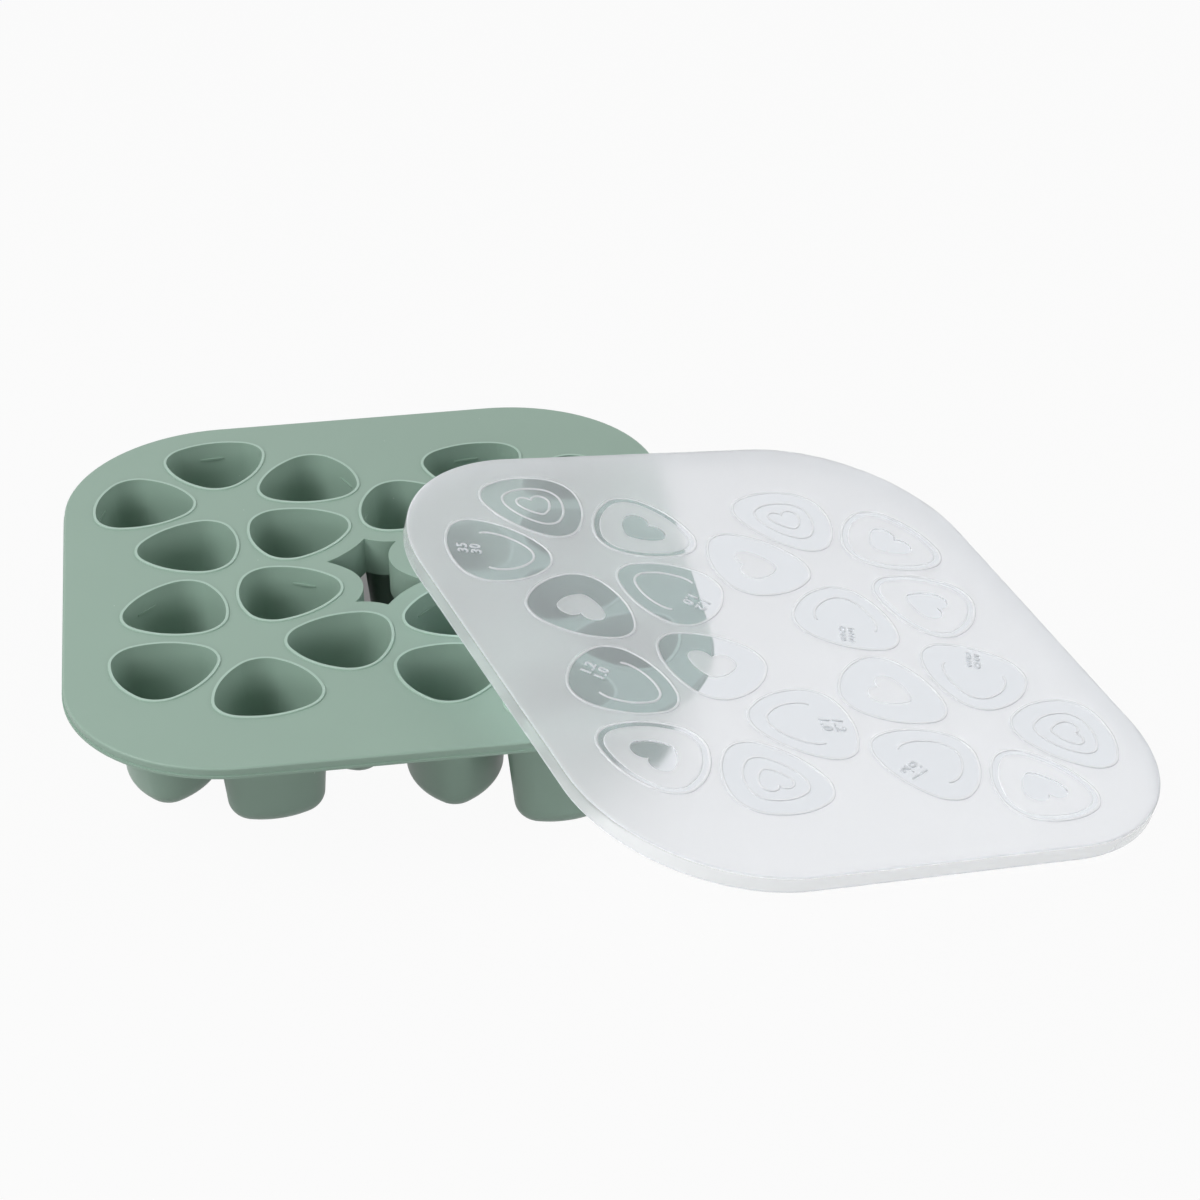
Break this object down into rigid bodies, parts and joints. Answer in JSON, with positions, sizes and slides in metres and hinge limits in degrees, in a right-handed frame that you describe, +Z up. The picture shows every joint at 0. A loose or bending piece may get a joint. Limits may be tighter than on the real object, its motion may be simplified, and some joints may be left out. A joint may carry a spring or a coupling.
{
  "type": "baby food freezer tray",
  "caption": "Soft silicone freezer tray with rounded-triangle pods round a cusped middle opening, and its stiff translucent press-on lid lying half on the tray edge and half on the table.",
  "frame": {"origin": "middle of the whole footprint of tray and lid, on the surface they stand on", "axes": "+Z up; +X from the tray towards the lid that lies against it, along the tray's shorter side; +Y along the tray's longer side, away from the viewer"},
  "size_m": [0.3756, 0.32, 0.0774],
  "materials": {
    "silicone": "satin",
    "lid_plastic": "matte translucent, with clear polished areas"
  },
  "bodies": {
    "tray": {"tray_deck": "silicone", "tray_rim": "silicone", "middle_sleeve": "silicone", "pod_a": "silicone", "pod_a_partner": "silicone", "pod_b": "silicone", "pod_b_partner": "silicone", "pod_c": "silicone", "pod_c_partner": "silicone", "pod_d": "silicone", "pod_d_partner": "silicone", "pod_e": "silicone", "pod_e_partner": "silicone", "pod_f": "silicone", "pod_f_partner": "silicone", "pod_g": "silicone", "pod_g_partner": "silicone", "pod_h": "silicone", "pod_h_partner": "silicone", "pod_i": "silicone", "pod_i_partner": "silicone", "pod_j": "silicone", "pod_j_partner": "silicone"},
    "lid": {"lid_plate": "lid_plastic", "lid_skirt": "lid_plastic"}
  },
  "joints": [
    {"name": "lid_lift", "type": "slide", "parent": "tray", "child": "lid", "axis": [0, 0, 1], "range_m": [0, 0.12]}
  ]
}
